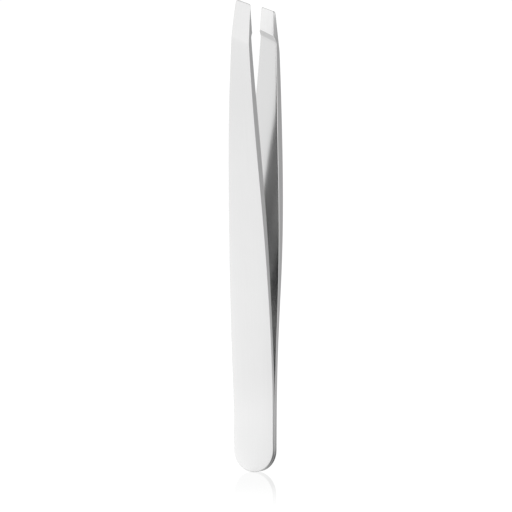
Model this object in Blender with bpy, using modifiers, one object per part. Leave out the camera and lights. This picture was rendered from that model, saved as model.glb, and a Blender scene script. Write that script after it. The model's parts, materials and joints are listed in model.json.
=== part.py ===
"""Slant tweezers: two bowed strips of spring steel, spot-welded together at the heel.

They stand tips up. +Z runs from the lowest point of the round heel to the tips, X is
the width of the arms and Y is the way they open, with the front arm at -Y. Each arm is
one ground strip: a flat heel, a stretch that flexes, a long blade and a slanted jaw.
The strip is split where it flexes, into a heel that stays still and a limb that turns.
"""

import math

import bmesh
import bpy
from mathutils import Matrix, Vector

MM = 0.001

# Driving dimensions, in metres or radians. A slope is sideways travel for each unit up.
LENGTH = 95 * MM
HEEL_WIDTH = 9.0 * MM
GRIP_WIDTH = 9.25 * MM
GRIP_HEIGHT = 22 * MM
NECK_WIDTH = 4.4 * MM
NECK_HEIGHT = 83 * MM
NECK_TAPER = 0.057
TIP_WIDTH = 3.4 * MM

HEEL_STOCK = 1.0 * MM
BOW_STOCK = 1.15 * MM
BLADE_STOCK = 1.5 * MM
HOLLOW_STOCK = 1.2 * MM

BEND_HEIGHT = 10 * MM
BOW_HEIGHT = 36 * MM
BOW_OFFSET = 2.7 * MM
BOW_SLOPE = 0.11
SPREAD = 12.7 * MM
NECK_SLOPE = 0.02

PIVOT_HEIGHT = 20 * MM
PIVOT_OFFSET = 0.77 * MM
CLOSING_ANGLE = math.radians(3.6)
CLOSED_GAP = 0.1 * MM

SLANT = math.radians(22)
PAD_LENGTH = 4.9 * MM
HOLLOW_LENGTH = 6.5 * MM
HOLLOW_RAMP = 1.3 * MM
FACET_LENGTH = 7.8 * MM
GRIND_SLANT = math.radians(27)
FACET_ANGLE = math.radians(10)

SEAM_GAP = 0.3 * MM
EDGE_ROUND = 0.12 * MM
NUGGET_RADIUS = 1.6 * MM
NUGGET_HALF_THICKNESS = 0.35 * MM
NUGGET_HEIGHTS = {"lower": 4.5 * MM, "upper": 9.0 * MM}

# Places that follow from them.
TIP_CENTRE = LENGTH - TIP_WIDTH / 2 * math.tan(SLANT)
PAD_FOOT = TIP_CENTRE - PAD_LENGTH
FACET_FOOT = TIP_CENTRE - FACET_LENGTH
SHOULDER = FACET_FOOT - 3.5 * MM
PAST_TIP = LENGTH + 2 * MM
PAST_HEEL = -1 * MM
CUT_REACH = 8 * MM

CURVE_STEPS = 10
LENS_SEGMENTS = 24
BEVEL_FROM = math.radians(40)
WELD_DISTANCE = 1e-7

# A drawing sheet's own x, y and thickness directions, as columns in the row frame.
PLAN_SHEET = Matrix(((1, 0, 0, 0), (0, 0, -1, 0), (0, 1, 0, 0), (0, 0, 0, 1)))
SIDE_SHEET = Matrix(((0, 0, 1, 0), (1, 0, 0, 0), (0, 1, 0, 0), (0, 0, 0, 1)))


def clear_scene():
    for old in list(bpy.data.objects):
        bpy.data.objects.remove(old, do_unlink=True)


def new_collection(name):
    collection = bpy.data.collections.new(name)
    bpy.context.scene.collection.children.link(collection)
    return collection


def steel(name, grey, roughness):
    material = bpy.data.materials.new(name)
    material.use_nodes = True
    shader = material.node_tree.nodes["Principled BSDF"]
    shader.inputs["Base Color"].default_value = (grey, grey, grey, 1)
    shader.inputs["Metallic"].default_value = 1
    shader.inputs["Roughness"].default_value = roughness
    return material


def mesh_object(name, mesh, collection):
    """Welds a mesh's loose seams, turns its faces outwards and puts it in an object."""
    bm = bmesh.new()
    bm.from_mesh(mesh)
    bmesh.ops.remove_doubles(bm, verts=bm.verts, dist=WELD_DISTANCE)
    bmesh.ops.recalc_face_normals(bm, faces=bm.faces)
    bm.to_mesh(mesh)
    bm.free()
    made = bpy.data.objects.new(name, mesh)
    collection.objects.link(made)
    return made


def primitive_object(name, bm, collection):
    mesh = bpy.data.meshes.new(name)
    bm.to_mesh(mesh)
    bm.free()
    return mesh_object(name, mesh, collection)


def knot(x, y, heading=None, before=0.0, after=0.0):
    """A point of an outline: its place, its handles, and whether the line bends there.

    heading is the way the line runs through it, before and after are the handles'
    lengths. A point with no heading is a corner between straight lines.
    """
    point = Vector((x, y, 0))
    along = Vector((*heading, 0)).normalized() if heading else Vector((0, 0, 0))
    return point, point - along * before, point + along * after, before > 0, after > 0


def outline_solid(name, knots, half_depth, sheet, collection):
    """A closed outline, drawn on a sheet and thickened both ways, as a mesh object."""
    curve = bpy.data.curves.new(name, "CURVE")
    curve.dimensions = "2D"
    curve.fill_mode = "BOTH"
    curve.extrude = half_depth
    curve.resolution_u = CURVE_STEPS
    spline = curve.splines.new("BEZIER")
    spline.bezier_points.add(len(knots) - 1)
    spline.use_cyclic_u = True
    for target, (point, left, right, bends_before, bends_after) in zip(
        spline.bezier_points, knots
    ):
        target.handle_left_type = "FREE" if bends_before else "VECTOR"
        target.handle_right_type = "FREE" if bends_after else "VECTOR"
        target.co = point
        target.handle_left = left
        target.handle_right = right
    drawn = bpy.data.objects.new(name + "_outline", curve)
    collection.objects.link(drawn)
    bpy.context.view_layer.update()
    graph = bpy.context.evaluated_depsgraph_get()
    mesh = bpy.data.meshes.new_from_object(drawn.evaluated_get(graph))
    bpy.data.objects.remove(drawn, do_unlink=True)
    mesh.transform(sheet)
    return mesh_object(name, mesh, collection)


def box(name, low, high, collection, place=Matrix.Identity(4)):
    """A box between two corners, then moved by place."""
    size = Vector(high) - Vector(low)
    middle = (Vector(high) + Vector(low)) / 2
    shape = place @ Matrix.Translation(middle) @ Matrix.Diagonal(size).to_4x4()
    bm = bmesh.new()
    bmesh.ops.create_cube(bm, size=1, matrix=shape)
    return primitive_object(name, bm, collection)


def lens(name, height, grow, collection):
    """A flat round lens lying in the seam at a height, grown all round by grow."""
    radius = NUGGET_RADIUS + grow
    half_thickness = NUGGET_HALF_THICKNESS + grow
    poles_across = Matrix.Rotation(math.pi / 2, 4, "X")
    flat = Matrix.Diagonal((radius, half_thickness, radius, 1))
    shape = Matrix.Translation((0, 0, height)) @ flat @ poles_across
    bm = bmesh.new()
    bmesh.ops.create_uvsphere(
        bm,
        u_segments=LENS_SEGMENTS,
        v_segments=LENS_SEGMENTS // 2,
        radius=1,
        matrix=shape,
    )
    return primitive_object(name, bm, collection)


def cut(target, cutter, operation="DIFFERENCE"):
    cutter.hide_render = True
    cutter.display_type = "WIRE"
    boolean = target.modifiers.new(operation.title(), "BOOLEAN")
    boolean.operation = operation
    boolean.solver = "EXACT"
    boolean.object = cutter


def pad_offset(height):
    """The jaw face's distance from the seam plane, which it lies along once closed."""
    rise = (height - PIVOT_HEIGHT) * math.sin(CLOSING_ANGLE)
    back = (CLOSED_GAP / 2 - PIVOT_OFFSET + rise) / math.cos(CLOSING_ANGLE)
    return PIVOT_OFFSET + back


def plan_knots():
    """The arm seen from the front: a round heel, full at the grip, tapered to the jaw."""
    heel = HEEL_WIDTH / 2
    round_reach = heel * 4 / 3 * math.tan(math.pi / 8)
    swell_reach = 6 * MM
    taper_reach = 22 * MM
    neck_reach = 3 * MM
    jaw_taper = (NECK_WIDTH - TIP_WIDTH) / 2 / (TIP_CENTRE - NECK_HEIGHT)
    end = TIP_WIDTH / 2 - jaw_taper * (PAST_TIP - TIP_CENTRE)
    neck = (NECK_WIDTH / 2, NECK_HEIGHT)
    right = [
        (heel, heel, (0, 1), round_reach, swell_reach),
        (GRIP_WIDTH / 2, GRIP_HEIGHT, (0, 1), swell_reach, taper_reach),
        (*neck, (-NECK_TAPER, 1), taper_reach, neck_reach),
        (end, PAST_TIP, (-jaw_taper, 1), neck_reach, 0),
    ]
    left = [
        (-x, y, (run[0], -run[1]), after, before)
        for x, y, run, before, after in reversed(right)
    ]
    bottom = knot(0, 0, (1, 0), round_reach, round_reach)
    return [bottom] + [knot(*k) for k in right + left]


def side_knots(side):
    """The arm seen from its edge, up its outer face and down its inner one.

    It leaves the heel upright, leans out fastest at the bow and straightens to the
    neck. Above the shoulder the stock is thicker inwards, out to the jaw face.
    """
    neck = SPREAD / 2 - NECK_SLOPE * (FACET_FOOT - NECK_HEIGHT) / 2
    end = neck + NECK_SLOPE * (PAST_TIP - NECK_HEIGHT)
    shoulder = SPREAD / 2 - BLADE_STOCK
    blade_slope = 0.068
    bow_inner_slope = 0.08
    seam = SEAM_GAP / 2
    seam_end = BEND_HEIGHT + 4 * MM
    ramp = PAD_FOOT - 5 * MM
    bend_reach = 9 * MM
    bow_reach = 14.5 * MM
    neck_reach = 12 * MM
    blade_reach = 15.7 * MM
    seam_reach = 8 * MM
    outer_face = [
        (HEEL_STOCK, PAST_HEEL),
        (HEEL_STOCK, BEND_HEIGHT, (0, 1), 0, bend_reach),
        (BOW_OFFSET, BOW_HEIGHT, (BOW_SLOPE, 1), bend_reach, bow_reach),
        (neck, NECK_HEIGHT, (NECK_SLOPE, 1), neck_reach, 0),
        (end, PAST_TIP),
    ]
    inner_face = [
        (pad_offset(PAST_TIP), PAST_TIP),
        (pad_offset(ramp), ramp),
        (shoulder, SHOULDER, (-blade_slope, -1), 0, blade_reach),
        (
            BOW_OFFSET - BOW_STOCK,
            BOW_HEIGHT,
            (-bow_inner_slope, -1),
            blade_reach,
            seam_reach,
        ),
        (seam, seam_end, (0, -1), seam_reach, 0),
        (seam, PAST_HEEL),
    ]
    knots = []
    for y, z, *bend in outer_face + inner_face:
        if bend:
            heading, before, after = bend
            knots.append(knot(side * y, z, (side * heading[0], heading[1]), before, after))
        else:
            knots.append(knot(side * y, z))
    return knots


def hollow_knots(side):
    """The ground hollow below the jaw face, measured down from the face's foot."""
    face = pad_offset(PAD_FOOT)
    floor = SPREAD / 2 - HOLLOW_STOCK
    floor_slope = 0.07
    floor_end = floor - floor_slope * (HOLLOW_LENGTH - HOLLOW_RAMP)
    middle = face - CUT_REACH / 2
    outline = [
        (middle, 0),
        (face, 0),
        (floor, -HOLLOW_RAMP),
        (floor_end, -HOLLOW_LENGTH),
        (middle, -HOLLOW_LENGTH),
    ]
    return [knot(side * y, z) for y, z in outline]


def jaw_cutters(name, side, cutters):
    """What grinding takes off a jaw: the hollow, the outer facet and the slanted tip."""
    ground = Matrix.Rotation(GRIND_SLANT, 4, "Y")
    hollow = outline_solid(
        name + "_hollow_cutter", hollow_knots(side), CUT_REACH, SIDE_SHEET, cutters
    )
    hollow.data.transform(Matrix.Translation((0, 0, PAD_FOOT)) @ ground)
    near, far = sorted((0, side * CUT_REACH))
    facet_foot = Matrix.Translation((0, side * SPREAD / 2, FACET_FOOT))
    facet_lean = Matrix.Rotation(side * FACET_ANGLE, 4, "X")
    facet = box(
        name + "_facet_cutter",
        (-CUT_REACH, near, -CUT_REACH),
        (CUT_REACH, far, 2 * CUT_REACH),
        cutters,
        facet_foot @ ground @ facet_lean,
    )
    tip = box(
        name + "_tip_cutter",
        (-CUT_REACH, -CUT_REACH, 0),
        (CUT_REACH, CUT_REACH, CUT_REACH),
        cutters,
        Matrix.Translation((0, 0, TIP_CENTRE)) @ Matrix.Rotation(SLANT, 4, "Y"),
    )
    return hollow, facet, tip


def strip(name, side, low, high, material, parts, cutters):
    """A stretch of one arm: its edge outline, trimmed to its plan and to two heights."""
    piece = outline_solid(name, side_knots(side), GRIP_WIDTH, SIDE_SHEET, parts)
    plan = outline_solid(name + "_plan", plan_knots(), CUT_REACH, PLAN_SHEET, cutters)
    band_low = (-CUT_REACH, -CUT_REACH, low)
    band_high = (CUT_REACH, CUT_REACH, high)
    cut(piece, plan, "INTERSECT")
    cut(piece, box(name + "_band", band_low, band_high, cutters), "INTERSECT")
    piece.data.materials.append(material)
    return piece


def round_edges(piece):
    bevel = piece.modifiers.new("Rounded edges", "BEVEL")
    bevel.width = EDGE_ROUND
    bevel.segments = 2
    bevel.limit_method = "ANGLE"
    bevel.angle_limit = BEVEL_FROM


def make_heel(name, side, material, parts, cutters):
    """The still end of an arm, with a pocket in its inner face for each weld."""
    top = PIVOT_HEIGHT - SEAM_GAP / 2
    heel = strip(name, side, PAST_HEEL, top, material, parts, cutters)
    for place, height in NUGGET_HEIGHTS.items():
        cut(heel, lens(f"{name}_{place}_pocket", height, SEAM_GAP, cutters))
    round_edges(heel)


def make_limb(name, side, material, parts, cutters):
    """The springing part of an arm, with its jaw, hung from an empty on its flex axis."""
    bottom = PIVOT_HEIGHT + SEAM_GAP / 2
    limb = strip(name, side, bottom, PAST_TIP, material, parts, cutters)
    for cutter in jaw_cutters(name, side, cutters):
        cut(limb, cutter)
    round_edges(limb)
    axis = bpy.data.objects.new(name + "_flex_axis", None)
    axis.location = (0, side * PIVOT_OFFSET, PIVOT_HEIGHT)
    parts.objects.link(axis)
    bpy.context.view_layer.update()
    limb.parent = axis
    limb.matrix_parent_inverse = axis.matrix_world.inverted()


def make_nugget(place, height, material, parts):
    """The fused steel of one spot weld, in the seam between the heels."""
    nugget = lens("weld_nugget_" + place, height, 0, parts)
    nugget.data.materials.append(material)
    nugget.data.shade_smooth()


def main():
    clear_scene()
    parts = new_collection("slant_tweezers")
    cutters = new_collection("cutters")
    arm_steel = steel("arm_steel", 0.78, 0.25)
    weld_steel = steel("weld_steel", 0.55, 0.45)
    for name, side in (("front", -1), ("rear", 1)):
        make_heel(name + "_heel", side, arm_steel, parts, cutters)
        make_limb(name + "_limb", side, arm_steel, parts, cutters)
    for place, height in NUGGET_HEIGHTS.items():
        make_nugget(place, height, weld_steel, parts)


main()
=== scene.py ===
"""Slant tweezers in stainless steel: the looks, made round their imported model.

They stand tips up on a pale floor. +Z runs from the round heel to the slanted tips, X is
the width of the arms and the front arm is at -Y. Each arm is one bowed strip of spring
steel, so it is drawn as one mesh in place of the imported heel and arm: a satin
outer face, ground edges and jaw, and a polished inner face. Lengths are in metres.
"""

import json
import math

import bmesh
import bpy
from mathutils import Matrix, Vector


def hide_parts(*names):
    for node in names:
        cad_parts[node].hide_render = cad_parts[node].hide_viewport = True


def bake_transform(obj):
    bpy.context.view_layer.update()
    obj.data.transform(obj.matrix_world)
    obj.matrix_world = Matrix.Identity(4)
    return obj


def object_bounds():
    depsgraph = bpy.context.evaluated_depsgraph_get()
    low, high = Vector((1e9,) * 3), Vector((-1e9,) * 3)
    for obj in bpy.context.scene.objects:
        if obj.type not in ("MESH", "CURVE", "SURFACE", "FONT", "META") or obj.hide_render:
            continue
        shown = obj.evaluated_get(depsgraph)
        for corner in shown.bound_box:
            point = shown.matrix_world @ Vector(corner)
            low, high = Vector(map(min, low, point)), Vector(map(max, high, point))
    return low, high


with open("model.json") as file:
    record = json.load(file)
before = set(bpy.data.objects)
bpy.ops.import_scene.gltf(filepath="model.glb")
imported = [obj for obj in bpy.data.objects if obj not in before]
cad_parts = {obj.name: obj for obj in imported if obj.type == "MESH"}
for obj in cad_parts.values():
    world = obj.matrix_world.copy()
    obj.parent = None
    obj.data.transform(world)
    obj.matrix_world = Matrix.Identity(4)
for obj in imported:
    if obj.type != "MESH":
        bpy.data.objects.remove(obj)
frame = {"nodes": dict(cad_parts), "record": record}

CAD_LOW, CAD_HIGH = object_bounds()
MOUNTS = {mount["name"]: mount for mount in frame["record"]["mounts"]}
MM = 0.001
UP = (0, 0, 1)

# How much further the outer faces spread between the neck and the facet's foot.
NECK_RISE = 0.09 * MM

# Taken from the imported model.
LENGTH = CAD_HIGH.z
GRIP_HALF_WIDTH = CAD_HIGH.x
NECK_OFFSET = CAD_HIGH.y - NECK_RISE
HEEL_STOCK = MOUNTS["heel_rear_face"]["pos_m"][1]
JAW_POINT = Vector(MOUNTS["rear_jaw_face"]["pos_m"])
JAW_NORMAL = Vector(MOUNTS["rear_jaw_face"]["axis"])

# The strip's own shape. A slope is sideways travel for each unit up.
HEEL_HALF_WIDTH = 4.5 * MM
NECK_HALF_WIDTH = 2.2 * MM
TIP_HALF_WIDTH = 1.69 * MM
SLANT = math.radians(22)
TIP_CENTRE = LENGTH - TIP_HALF_WIDTH * math.tan(SLANT)
PAD_FOOT = TIP_CENTRE - 4.9 * MM
FACET_FOOT = TIP_CENTRE - 7.8 * MM
FACET_SLANT = math.radians(27)
FACET_ANGLE = math.radians(10)
FACET_BLEND = 0.03 * MM
HOLLOW_RAMP = 1.6 * MM
HOLLOW_STRAIGHT = 0.55
CROWN = 0.1 * MM
PAD_INSET = 0.24 * MM
SEAM_HALF_GAP = 0.02 * MM

# How the tip's high and low corners are eased: how far down it reaches, and how deep.
HIGH_CORNER = (1.3 * MM, 0.3 * MM)
LOW_CORNER = (0.5 * MM, 0.12 * MM)
# How far down the strip rounds over into its end face, and the share by which it shrinks.
TIP_ROUND = 0.12 * MM
TIP_SHRINK = 0.9

# Each is a list of height, value and slope, joined by cubic curves: first the distances
# from the middle of the strip's width and from the seam, then the roundings of the edges.
HALF_WIDTH = [
    (HEEL_HALF_WIDTH, HEEL_HALF_WIDTH, 0.0),
    (22 * MM, GRIP_HALF_WIDTH, 0.0),
    (83 * MM, NECK_HALF_WIDTH, -0.057),
    (TIP_CENTRE, TIP_HALF_WIDTH, -0.042),
]
OUTER_FACE = [
    (1 * MM, HEEL_STOCK - 0.12 * MM, 0.0),
    (10 * MM, HEEL_STOCK, 0.0),
    (36 * MM, 2.7 * MM, 0.11),
    (83 * MM, NECK_OFFSET, 0.02),
]
INNER_FACE = [
    (11.5 * MM, SEAM_HALF_GAP, 0.0),
    (36 * MM, 1.5 * MM, 0.076),
    (65 * MM, 3.54 * MM, 0.066),
    (83 * MM, 4.85 * MM, 0.06),
]
OUTER_ROUND = [
    (2 * MM, 0.12 * MM, 0.0),
    (14 * MM, 0.26 * MM, 0.0),
    (22 * MM, 0.26 * MM, 0.0),
    (42 * MM, 0.13 * MM, 0.0),
    (84 * MM, 0.13 * MM, 0.0),
    (TIP_CENTRE, 0.1 * MM, 0.0),
]
INNER_ROUND = [
    (14 * MM, 0.06 * MM, 0.0),
    (30 * MM, 0.06 * MM, 0.0),
    (55 * MM, 0.12 * MM, 0.0),
    (PAD_FOOT - 1 * MM, 0.14 * MM, 0.0),
    (PAD_FOOT, 0.1 * MM, 0.0),
]
# How far both arms lean the same way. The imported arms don't: they are exact mirrors.
SWAY = [
    (10 * MM, 0.0, 0.0),
    (25 * MM, -0.2 * MM, 0.0),
    (50 * MM, 0.24 * MM, 0.0),
    (76 * MM, 0.0, 0.0),
]
# How far the inner face's rim is set in, and how the rows of the mesh slant.
INNER_INSET = [
    (PAD_FOOT - 0.5 * MM, 0.02 * MM, 0.0),
    (PAD_FOOT, PAD_INSET, 0.0),
]
ROW_SLANT = [
    (70 * MM, 0.0, 0.0),
    (FACET_FOOT, FACET_SLANT, 0.0),
    (PAD_FOOT, FACET_SLANT, 0.0),
    (TIP_CENTRE, SLANT, 0.0),
]

# The mesh: how many steps each stretch of a section or a rounding has.
ACROSS = 14
CORNER_STEPS = 5
SIDE_STEPS = 2
BUTT_STEPS = 16
TIP_STEPS = 4
RIM_PASSES = 4

# How far apart the rows stand: at the jaw face's foot, in the rest of the jaw, and below.
FOOT_SPACING = 0.1 * MM
JAW_SPACING = 0.25 * MM
BLADE_SPACING = 1.0 * MM
JAW_REACH = 2 * MM
WELD_DISTANCE = 1e-7

# The side that the studio's light comes from, and where its backdrop stands.
FRONT = (-0.05, -1.0, 0.0)
BACKDROP = (-0.5, 0.866, 0.0)
FLOOR_REACH = 6.0

CAMERA_AZIMUTH = math.radians(30)
CAMERA_DISTANCE = 330 * MM
CAMERA_HEIGHT = 37.2 * MM
CAMERA_LENS = 114.8
CAMERA_TARGET = (0.12 * MM, 0, 43.5 * MM)
CAMERA_ROLL = math.radians(0.05)

# How the polished faces change with height: each fade runs evenly between two
# (height, level) pairs, and all of a list multiply. They are given. With reflections
# alone, the gap between the arms is too black near the heel and too pale above that.
# These colour fades are painted light and shade standing in for reflections: painted light
# on the polished faces near the heel, and a painted shade band from about 37 to 61 mm up.
POLISH_PAINTED_SHADING = (
    ((25 * MM, 1.7), (38 * MM, 1.0)),
    ((37 * MM, 1.0), (44 * MM, 0.8)),
    ((47 * MM, 1.0), (61 * MM, 1 / 0.8)),
)
POLISH_HAZES = (((30 * MM, 1.5), (40 * MM, 1.0)),)
# The share by which each steel's roughness varies from place to place.
HAZE_CHANGE = 0.1


def curve(knots, height):
    """The value at a height of a curve through knots, straight before and after them."""
    low = knots[0]
    if height <= low[0]:
        return low[1] + low[2] * (height - low[0])
    for high in knots[1:]:
        if height <= high[0]:
            span = high[0] - low[0]
            t = (height - low[0]) / span
            rise = low[1] * (2 * t**3 - 3 * t**2 + 1) + high[1] * (3 * t**2 - 2 * t**3)
            lean = low[2] * (t**3 - 2 * t**2 + t) + high[2] * (t**3 - t**2)
            return rise + lean * span
        low = high
    return low[1] + low[2] * (height - low[0])


def half_width(height, hand):
    """Half the strip's width, with the tip's two corners eased by grinding."""
    reach, depth = HIGH_CORNER if hand < 0 else LOW_CORNER
    corner = LENGTH if hand < 0 else LENGTH - 2 * TIP_HALF_WIDTH * math.tan(SLANT)
    into = max(height - (corner - reach), 0.0) / reach
    return curve(HALF_WIDTH, height) - depth * into**2


def outer_offset(x, z):
    """The outer face's distance from the seam plane, with the facet ground off it."""
    bowed = curve(OUTER_FACE, z) - CROWN * (x / GRIP_HALF_WIDTH) ** 4
    past_foot = (z - FACET_FOOT) * math.cos(FACET_SLANT) + x * math.sin(FACET_SLANT)
    facet = curve(OUTER_FACE, FACET_FOOT) - math.tan(FACET_ANGLE) * past_foot
    apart = (bowed - facet) / 2
    return (bowed + facet) / 2 - math.hypot(apart, FACET_BLEND)


def inner_offset(z, row_height):
    """The inner face's distance from the seam plane: blade, hollow, then the jaw face."""
    jaw = JAW_POINT.y + (z - JAW_POINT.z) * JAW_NORMAL.z / -JAW_NORMAL.y
    down = min(max((PAD_FOOT - row_height) / HOLLOW_RAMP, 0.0), 1.0)
    eased = max(down - HOLLOW_STRAIGHT, 0.0) ** 2 / (1 - HOLLOW_STRAIGHT)
    depth = (2 * down - eased) / (1 + HOLLOW_STRAIGHT)
    return jaw + (curve(INNER_FACE, z) - jaw) * depth


class Row:
    """One section of the strip: level below the jaw, and slanted like its edges in it."""

    def __init__(self, height, shrink=0.0):
        self.height = height
        self.shrink = shrink
        self.tilt = math.tan(curve(ROW_SLANT, height))
        self.outer_round = curve(OUTER_ROUND, height) - shrink
        self.inner_round = self.edge_round(height) - shrink
        self.inset = curve(INNER_INSET, height)

    def edge_round(self, height):
        """The inner edge is eased like the rest below the jaw face, and crisp on it."""
        return curve(INNER_ROUND, min(height, PAD_FOOT))

    def rim(self, hand, inset):
        """Where the section's left (-1) or right (1) rim is, set in by some way."""
        x = hand * half_width(self.height, hand)
        for _ in range(RIM_PASSES):
            x = hand * (half_width(self.height - x * self.tilt, hand) - self.shrink)
        x -= hand * inset
        return x, self.height - x * self.tilt

    def outer(self, x, z):
        return outer_offset(x, z) - self.shrink

    def inner(self, z):
        return inner_offset(z, self.height) + self.shrink


class ButtRow(Row):
    """A section of the half-round heel, at an angle up from its lowest point."""

    def __init__(self, angle):
        self.angle = angle
        super().__init__(HEEL_HALF_WIDTH * (1 - math.cos(angle)))

    def rim(self, hand, inset):
        radius = HEEL_HALF_WIDTH - inset
        x = hand * radius * math.sin(self.angle)
        return x, HEEL_HALF_WIDTH - radius * math.cos(self.angle)


def section(row):
    """The points round one row, as (x, y, z), and what each stretch between them is."""
    points = []
    kinds = []

    def add(place, kind):
        points.append(place)
        kinds.append(kind)

    def face(offset, start, end, kind):
        for step in range(ACROSS):
            share = step / ACROSS
            x = start[0] + (end[0] - start[0]) * share
            z = start[1] + (end[1] - start[1]) * share
            add((x, offset(x, z), z), kind)

    def corner(hand, depth_first, radius, inset, surface):
        """A quarter round, from a face to a side or from a side to a face."""
        for step in range(CORNER_STEPS):
            turn = math.pi / 2 * step / CORNER_STEPS
            turn = turn if depth_first else math.pi / 2 - turn
            x, z = row.rim(hand, inset + radius * (1 - math.sin(turn)))
            add((x, surface(x, z, radius * (1 - math.cos(turn))), z), "edge")

    def side(hand, outwards):
        x, z = row.rim(hand, 0)
        low = row.inner(z) + row.inner_round
        high = row.outer(x, z) - row.outer_round
        for step in range(SIDE_STEPS):
            up = step / SIDE_STEPS if outwards else 1 - step / SIDE_STEPS
            x, z = row.rim(hand, row.inset * (1 - up))
            add((x, low + (high - low) * up, z), "edge")

    def from_outer(x, z, depth):
        return row.outer(x, z) - depth

    def from_inner(x, z, depth):
        return row.inner(z) + depth

    outer_left = row.rim(-1, row.outer_round)
    outer_right = row.rim(1, row.outer_round)
    inner_left = row.rim(-1, row.inset + row.inner_round)
    inner_right = row.rim(1, row.inset + row.inner_round)
    inner_kind = "jaw" if row.height >= PAD_FOOT else "inner"
    face(row.outer, outer_left, outer_right, "outer")
    corner(1, True, row.outer_round, 0, from_outer)
    side(1, False)
    corner(1, False, row.inner_round, row.inset, from_inner)
    face(lambda x, z: row.inner(z), inner_right, inner_left, inner_kind)
    corner(-1, True, row.inner_round, row.inset, from_inner)
    side(-1, True)
    corner(-1, False, row.outer_round, 0, from_outer)
    return points, kinds


def stations():
    """The rows from the butt to the tip, close together where the jaw is worked."""
    rows = [ButtRow(math.pi / 2 * k / BUTT_STEPS) for k in range(BUTT_STEPS)]
    height = HEEL_HALF_WIDTH
    end = TIP_CENTRE - TIP_ROUND
    while height < end - FOOT_SPACING / 2:
        rows.append(Row(height))
        step = spacing(height)
        if height < PAD_FOOT - step / 2 and height + step > PAD_FOOT - step / 2:
            step = PAD_FOOT - height
        height += step
    return rows + tip_rows(end)


def spacing(height):
    """How far above a row the next one stands."""
    if abs(height - PAD_FOOT + HOLLOW_RAMP / 2) < HOLLOW_RAMP:
        return FOOT_SPACING
    return JAW_SPACING if FACET_FOOT - JAW_REACH < height else BLADE_SPACING


def tip_rows(end):
    """The rows that round the strip over into its end face."""
    radius = TIP_CENTRE - end
    rows = []
    for step in range(TIP_STEPS + 1):
        turn = math.pi / 2 * step / TIP_STEPS
        shrink = radius * TIP_SHRINK * (1 - math.cos(turn))
        rows.append(Row(end + radius * math.sin(turn), shrink))
    return rows


def arm_mesh(name, hand_y, materials):
    """One whole strip, heel to tip, at the side of the seam that hand_y says."""
    slots = {"outer": 0, "edge": 1, "jaw": 1, "inner": 2}
    bm = bmesh.new()
    loops = []
    for row in stations():
        points, kinds = section(row)
        places = [(x, hand_y * y + curve(SWAY, z), z) for x, y, z in points]
        loops.append(([bm.verts.new(place) for place in places], kinds))
    for (below, kinds), (above, _) in zip(loops, loops[1:]):
        for i, kind in enumerate(kinds):
            j = (i + 1) % len(kinds)
            quad = bm.faces.new((below[i], below[j], above[j], above[i]))
            quad.material_index = slots[kind]
            quad.smooth = True
    end_face = bm.faces.new(loops[-1][0])
    end_face.material_index = slots["jaw"]
    bmesh.ops.remove_doubles(bm, verts=bm.verts, dist=WELD_DISTANCE)
    bmesh.ops.recalc_face_normals(bm, faces=bm.faces)
    mesh = bpy.data.meshes.new(name)
    bm.to_mesh(mesh)
    bm.free()
    for material in materials:
        mesh.materials.append(material)
    rest = mesh.attributes.new("rest_place", "FLOAT_VECTOR", "POINT")
    for vertex, place in zip(mesh.vertices, rest.data):
        place.vector = vertex.co
    arm = bpy.data.objects.new(name, mesh)
    bpy.context.scene.collection.objects.link(arm)
    weighted = arm.modifiers.new("Flat faces", "WEIGHTED_NORMAL")
    weighted.mode = "FACE_AREA"
    weighted.weight = 90
    return arm


def node(tree, kind, **inputs):
    """A node with some of its inputs set, by name."""
    made = tree.nodes.new(kind)
    for name, value in inputs.items():
        made.inputs[name.replace("_", " ")].default_value = value
    return made


class Greys:
    """Builds grey levels from places or directions in one node tree."""

    def __init__(self, tree):
        self.tree = tree

    def ramp(self, value, low, high, interpolation="SMOOTHSTEP"):
        """A change between two (value, level) pairs, with no change outside them."""
        level = node(self.tree, "ShaderNodeMapRange")
        level.interpolation_type = interpolation
        level.inputs["From Min"].default_value = low[0]
        level.inputs["From Max"].default_value = high[0]
        level.inputs["To Min"].default_value = low[1]
        level.inputs["To Max"].default_value = high[1]
        self.tree.links.new(value, level.inputs["Value"])
        return level.outputs["Result"]

    def line(self, value, low, high):
        """The same, as an even change."""
        return self.ramp(value, low, high, "LINEAR")

    def along(self, vector, direction):
        """How far a vector reaches in a direction."""
        dot = node(self.tree, "ShaderNodeVectorMath")
        dot.operation = "DOT_PRODUCT"
        dot.inputs[1].default_value = Vector(direction).normalized()
        self.tree.links.new(vector, dot.inputs[0])
        return dot.outputs["Value"]

    def away(self, vector, centre):
        """How far a vector is from a place."""
        distance = node(self.tree, "ShaderNodeVectorMath")
        distance.operation = "DISTANCE"
        distance.inputs[1].default_value = centre
        self.tree.links.new(vector, distance.inputs[0])
        return distance.outputs["Value"]

    def heading(self, vector):
        """The same vector, one unit long."""
        unit = node(self.tree, "ShaderNodeVectorMath")
        unit.operation = "NORMALIZE"
        self.tree.links.new(vector, unit.inputs[0])
        return unit.outputs["Vector"]

    def join(self, operation, *levels):
        """Several levels added or multiplied together."""
        total = levels[0]
        for level in levels[1:]:
            math_node = node(self.tree, "ShaderNodeMath")
            math_node.operation = operation
            self.tree.links.new(total, math_node.inputs[0])
            self.tree.links.new(level, math_node.inputs[1])
            total = math_node.outputs["Value"]
        return total

    def fade(self, level, place, fades):
        """A level that changes with height, as a list of fades says."""
        for low, high in fades:
            height = self.along(place, UP)
            level = self.join("MULTIPLY", level, self.line(height, low, high))
        return level


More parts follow.
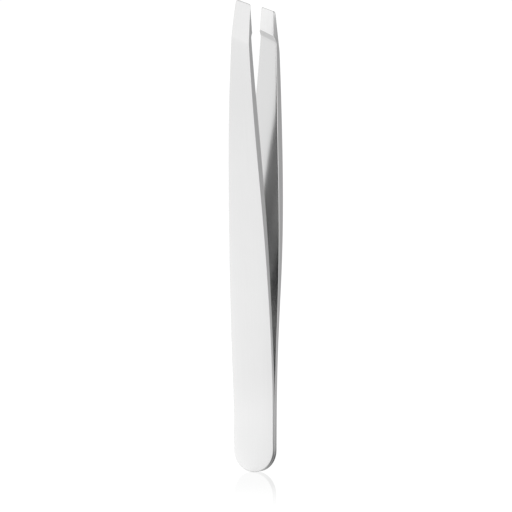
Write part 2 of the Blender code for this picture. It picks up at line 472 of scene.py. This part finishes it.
def steel(name, grey, roughness, grain, streak_size, streak_depth, painted_shading=(), hazes=()):
    """Stainless steel with fine streaks that follow the strip.

    grain is how much the streaks change the colour, and streak_size is how wide, how
    deep into the strip and how long one is. The fades after streak_depth change its colour
    with height and paint light and shade into it, and hazes are the fades of its
    roughness.
    """
    material = bpy.data.materials.new(name)
    material.use_nodes = True
    tree = material.node_tree
    link = tree.links.new
    greys = Greys(tree)
    shader = tree.nodes["Principled BSDF"]
    shader.inputs["Metallic"].default_value = 1.0
    attribute = node(tree, "ShaderNodeAttribute")
    attribute.attribute_name = "rest_place"
    place = attribute.outputs["Vector"]
    stretch = node(tree, "ShaderNodeMapping", Scale=[1 / size for size in streak_size])
    link(place, stretch.inputs["Vector"])
    streaks = node(tree, "ShaderNodeTexNoise", Scale=1.0, Detail=3.0, Roughness=0.6)
    link(stretch.outputs["Vector"], streaks.inputs["Vector"])
    clouds = node(tree, "ShaderNodeTexNoise", Scale=120.0, Detail=2.0)
    link(place, clouds.inputs["Vector"])

    tone = greys.line(streaks.outputs["Fac"], (0, 1 - grain), (1, 1 + grain))
    tint = node(tree, "ShaderNodeVectorMath")
    tint.operation = "SCALE"
    tint.inputs[0].default_value = (grey, grey, grey)
    # The colour fades with height here are painted light and shade.
    link(greys.fade(tone, place, painted_shading), tint.inputs["Scale"])
    link(tint.outputs["Vector"], shader.inputs["Base Color"])

    mixed = greys.join("ADD", streaks.outputs["Fac"], clouds.outputs["Fac"])
    haze = greys.line(
        mixed,
        (0.6, roughness * (1 - HAZE_CHANGE)),
        (1.4, roughness * (1 + HAZE_CHANGE)),
    )
    link(greys.fade(haze, place, hazes), shader.inputs["Roughness"])

    bump = node(tree, "ShaderNodeBump", Strength=1.0, Distance=streak_depth)
    link(streaks.outputs["Fac"], bump.inputs["Height"])
    link(bump.outputs["Normal"], shader.inputs["Normal"])
    return material


def weld_material():
    """The dull, blotched steel of a spot weld, which only the seam shows."""
    material = bpy.data.materials.new("weld_steel_fused")
    material.use_nodes = True
    tree = material.node_tree
    link = tree.links.new
    shader = tree.nodes["Principled BSDF"]
    shader.inputs["Metallic"].default_value = 1.0
    place = node(tree, "ShaderNodeTexCoord")
    blotches = node(tree, "ShaderNodeTexNoise", Scale=900.0, Detail=4.0)
    link(place.outputs["Object"], blotches.inputs["Vector"])
    tints = node(tree, "ShaderNodeValToRGB")
    tints.color_ramp.elements[0].color = (0.30, 0.28, 0.27, 1)
    tints.color_ramp.elements[1].color = (0.52, 0.52, 0.53, 1)
    link(blotches.outputs["Fac"], tints.inputs["Fac"])
    link(tints.outputs["Color"], shader.inputs["Base Color"])
    haze = node(tree, "ShaderNodeMapRange")
    haze.inputs["To Min"].default_value = 0.35
    haze.inputs["To Max"].default_value = 0.6
    link(blotches.outputs["Fac"], haze.inputs["Value"])
    link(haze.outputs["Result"], shader.inputs["Roughness"])
    bump = node(tree, "ShaderNodeBump", Strength=0.5, Distance=0.00005)
    link(blotches.outputs["Fac"], bump.inputs["Height"])
    link(bump.outputs["Normal"], shader.inputs["Normal"])
    return material


def make_arms():
    satin = steel(
        "satin_face",
        grey=0.656,
        roughness=0.32,
        grain=0.03,
        streak_size=(0.25 * MM, 2 * MM, 9 * MM),
        streak_depth=2e-6,
    )
    ground = steel(
        "ground_edge",
        grey=0.7,
        roughness=0.34,
        grain=0.06,
        streak_size=(0.2 * MM, 0.2 * MM, 3 * MM),
        streak_depth=3e-6,
    )
    polished = steel(
        "polished_face",
        grey=0.555,
        roughness=0.16,
        grain=0.02,
        streak_size=(0.3 * MM, 2 * MM, 12 * MM),
        streak_depth=5e-7,
        painted_shading=POLISH_PAINTED_SHADING,
        hazes=POLISH_HAZES,
    )
    for name, hand_y in (("front", -1), ("rear", 1)):
        arm = arm_mesh(name + "_arm_strip", hand_y, (satin, ground, polished))
        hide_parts(name + "_heel", name + "_limb")
        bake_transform(arm)


def dress_welds():
    material = weld_material()
    for name, weld in frame["nodes"].items():
        if name.startswith("weld_nugget"):
            weld.data.materials.clear()
            weld.data.materials.append(material)


def fresh_tree(owner):
    owner.use_nodes = True
    owner.node_tree.nodes.clear()
    return owner.node_tree


def split_by_ray(tree, unseen, seen):
    """One shader for what the camera sees, and another for what lights the object.

    Only the floor and the studio use it: the camera sees them plain and white.
    """
    path = node(tree, "ShaderNodeLightPath")
    mix = node(tree, "ShaderNodeMixShader")
    tree.links.new(path.outputs["Is Camera Ray"], mix.inputs["Fac"])
    tree.links.new(unseen, mix.inputs[1])
    tree.links.new(seen, mix.inputs[2])
    return mix.outputs["Shader"]


def make_floor():
    """A wide white sheet, a little glossy to the camera.

    What it gives off towards the object is bright in front and dark just behind, where the
    dark is a painted shadow of the object. It is brighter to the left and at grazing
    angles, where the grazing gain is a painted reflection of the studio, and dimmer far
    off.
    """
    bm = bmesh.new()
    bmesh.ops.create_grid(bm, x_segments=1, y_segments=1, size=FLOOR_REACH)
    mesh = bpy.data.meshes.new("floor")
    bm.to_mesh(mesh)
    bm.free()
    floor = bpy.data.objects.new("floor", mesh)
    bpy.context.scene.collection.objects.link(floor)
    material = bpy.data.materials.new("white_sheet")
    tree = fresh_tree(material)
    link = tree.links.new
    greys = Greys(tree)
    place = node(tree, "ShaderNodeNewGeometry").outputs["Position"]
    fresnel = node(tree, "ShaderNodeFresnel", IOR=1.45).outputs["Fac"]

    front = greys.along(place, FRONT)
    left = greys.along(greys.heading(place), (-1, 0, 0))
    shade = greys.join(
        "MULTIPLY",
        greys.join(
            "ADD",
            # Dark just behind the object: a painted shadow of it, lighter again further
            # back.
            greys.ramp(front, (-5 * MM, 0.17), (3.5 * MM, 0.96)),
            greys.ramp(front, (-75 * MM, 0.24), (-12 * MM, 0.0)),
        ),
        # Brighter at grazing angles: a painted reflection of the studio in the floor.
        greys.ramp(fresnel, (0.0, 0.88), (0.6, 1.57)),
        greys.ramp(left, (0.25, 0.93), (0.8, 1.11)),
        greys.ramp(greys.away(place, (0, 0, 0)), (280 * MM, 1.045), (700 * MM, 0.885)),
    )
    lit = node(tree, "ShaderNodeEmission")
    link(shade, lit.inputs["Strength"])

    paper = node(tree, "ShaderNodeEmission", Strength=1.08)
    gloss = node(tree, "ShaderNodeBsdfGlossy", Roughness=0.05)
    near = greys.ramp(greys.away(place, (0, 0, 0)), (12 * MM, 0.52), (80 * MM, 0.0))
    sheet = node(tree, "ShaderNodeMixShader")
    link(greys.join("MULTIPLY", fresnel, near), sheet.inputs["Fac"])
    link(paper.outputs["Emission"], sheet.inputs[1])
    link(gloss.outputs["BSDF"], sheet.inputs[2])

    output = node(tree, "ShaderNodeOutputMaterial")
    link(
        split_by_ray(tree, lit.outputs["Emission"], sheet.outputs["Shader"]),
        output.inputs["Surface"],
    )
    mesh.materials.append(material)


def make_light():
    """A pale studio: bright in front, greyer behind, with a low white backdrop.

    In front it is brighter above the horizon and darker at the right, and it is dimmer
    overhead. The camera sees only the backdrop's white.
    """
    world = bpy.data.worlds.new("studio")
    bpy.context.scene.world = world
    tree = fresh_tree(world)
    greys = Greys(tree)
    direction = node(tree, "ShaderNodeTexCoord").outputs["Generated"]
    front = greys.along(direction, FRONT)
    right = greys.along(direction, (1, 0, 0))
    up = greys.along(direction, UP)
    back = greys.along(direction, BACKDROP)
    level = greys.join(
        "ADD",
        greys.ramp(front, (-0.9, 0.35), (0.4, 0.98)),
        greys.ramp(right, (-0.5, 0.0), (0.5, 0.12)),
        greys.join(
            "MULTIPLY",
            greys.join(
                "ADD",
                greys.ramp(up, (0.02, 0.0), (0.18, 0.315)),
                greys.ramp(up, (0.22, 0.0), (0.38, 0.04)),
            ),
            greys.ramp(front, (-0.6, 0.0), (0.3, 1.0)),
        ),
        greys.join(
            "MULTIPLY",
            greys.ramp(right, (0.45, 0.0), (0.8, -0.5)),
            greys.ramp(front, (0.1, 0.0), (0.4, 1.0)),
        ),
        greys.join(
            "MULTIPLY",
            greys.ramp(back, (0.85, 0.0), (0.95, 0.78)),
            greys.ramp(up, (0.12, 1.0), (0.24, 0.0)),
        ),
    )
    level = greys.join("MULTIPLY", level, greys.ramp(up, (0.5, 1.0), (0.7, 0.6)))
    studio = node(tree, "ShaderNodeBackground", Color=(1, 1, 1, 1))
    tree.links.new(level, studio.inputs["Strength"])
    backdrop = node(tree, "ShaderNodeBackground", Color=(1, 1, 1, 1), Strength=1.05)
    output = node(tree, "ShaderNodeOutputWorld")
    tree.links.new(
        split_by_ray(tree, studio.outputs["Background"], backdrop.outputs["Background"]),
        output.inputs["Surface"],
    )


def aim(thing, target):
    thing.rotation_euler = (target - thing.location).to_track_quat("-Z", "Y").to_euler()


def make_softbox(name, place, size, power):
    light = bpy.data.lights.new(name, "AREA")
    light.shape = "RECTANGLE"
    light.size = size[0]
    light.size_y = size[1]
    light.energy = power
    lamp = bpy.data.objects.new(name, light)
    lamp.location = place
    bpy.context.scene.collection.objects.link(lamp)
    aim(lamp, Vector((0, 0, LENGTH / 2)))


def make_camera():
    """Looks from the front, a third of the way round to the right edge, a little up."""
    camera = bpy.data.objects.new("camera", bpy.data.cameras.new("camera"))
    camera.location = (
        CAMERA_DISTANCE * math.sin(CAMERA_AZIMUTH),
        -CAMERA_DISTANCE * math.cos(CAMERA_AZIMUTH),
        CAMERA_HEIGHT,
    )
    camera.data.lens = CAMERA_LENS
    camera.data.clip_start = 10 * MM
    camera.data.clip_end = 20
    bpy.context.scene.collection.objects.link(camera)
    aim(camera, Vector(CAMERA_TARGET))
    camera.rotation_euler.rotate_axis("Z", CAMERA_ROLL)
    bpy.context.scene.camera = camera


make_arms()
dress_welds()
make_floor()
make_light()
make_softbox("key", place=(-0.5, -0.8, 0.5), size=(0.8, 0.8), power=0.05)
make_camera()
bpy.context.scene.view_settings.view_transform = "Standard"
